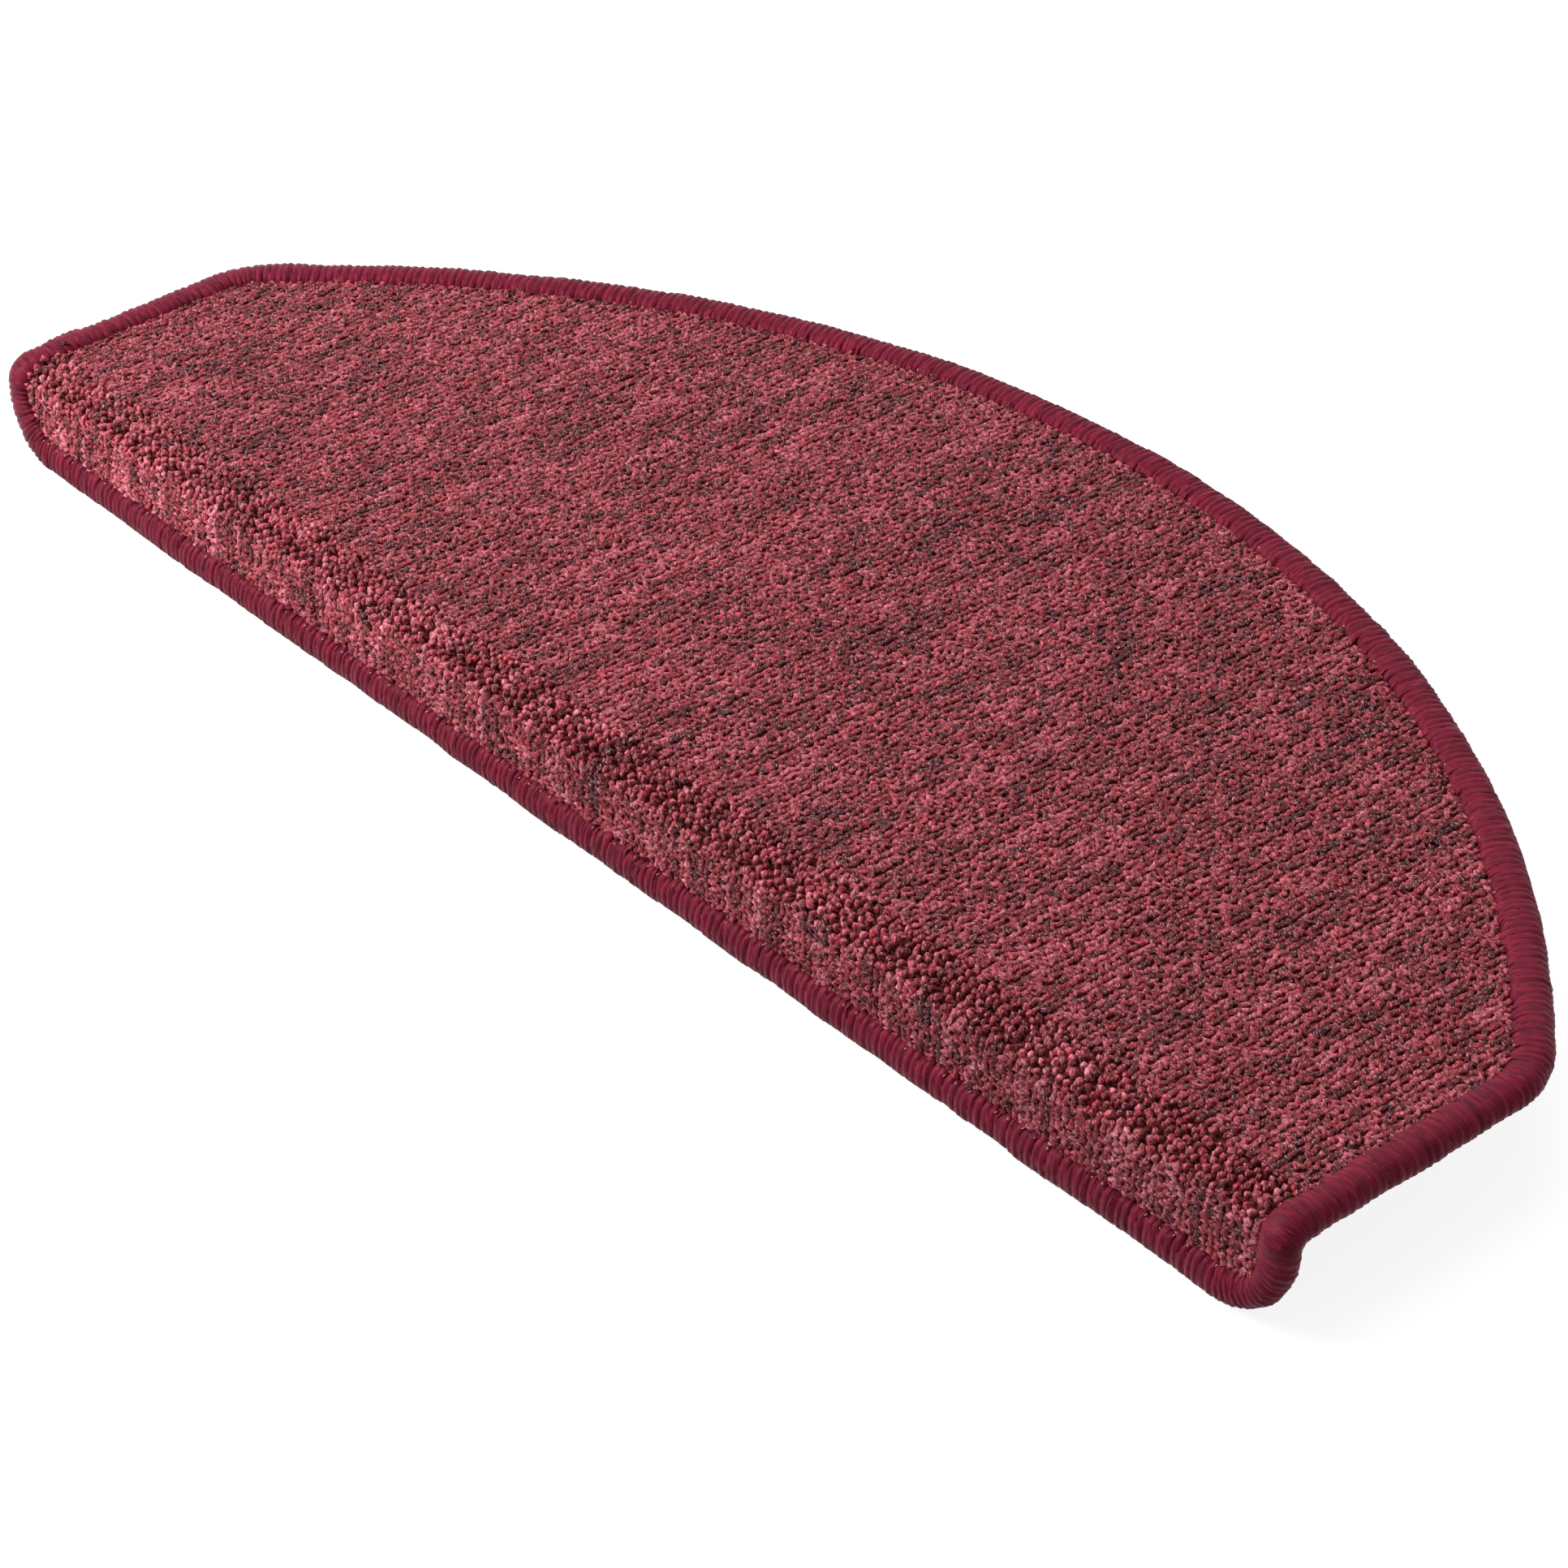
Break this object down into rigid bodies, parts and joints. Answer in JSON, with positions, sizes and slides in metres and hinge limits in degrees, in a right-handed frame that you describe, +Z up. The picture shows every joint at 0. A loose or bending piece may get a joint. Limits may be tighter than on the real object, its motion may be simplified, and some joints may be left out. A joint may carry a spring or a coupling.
{
  "type": "anti slip stair tread mat",
  "caption": "Half-round carpet mat for one stair tread, with a nosing that bends down over the stair's edge, an anti-slip backing and a whipped edge binding.",
  "frame": {"origin": "on the underside of the tread, in the middle of the width, where the mat begins to bend over the stair's edge", "axes": "+X across the stair's width, +Y to the back of the tread, +Z up from the tread"},
  "size_m": [0.65, 0.2445, 0.0368],
  "materials": {
    "loop_pile": "loop pile in melange reds and dark brown, in rows from back to front",
    "binding_yarn": "satin yarn in one wine red, whipped over the edge",
    "needle_thread": "pale sewing thread",
    "anti_slip_felt": "needled felt with a rubbery grip coat"
  },
  "bodies": {
    "root": {"loop_pile_carpet": "loop_pile", "anti_slip_backing": "anti_slip_felt", "edge_binding": "binding_yarn"}
  },
  "joints": []
}
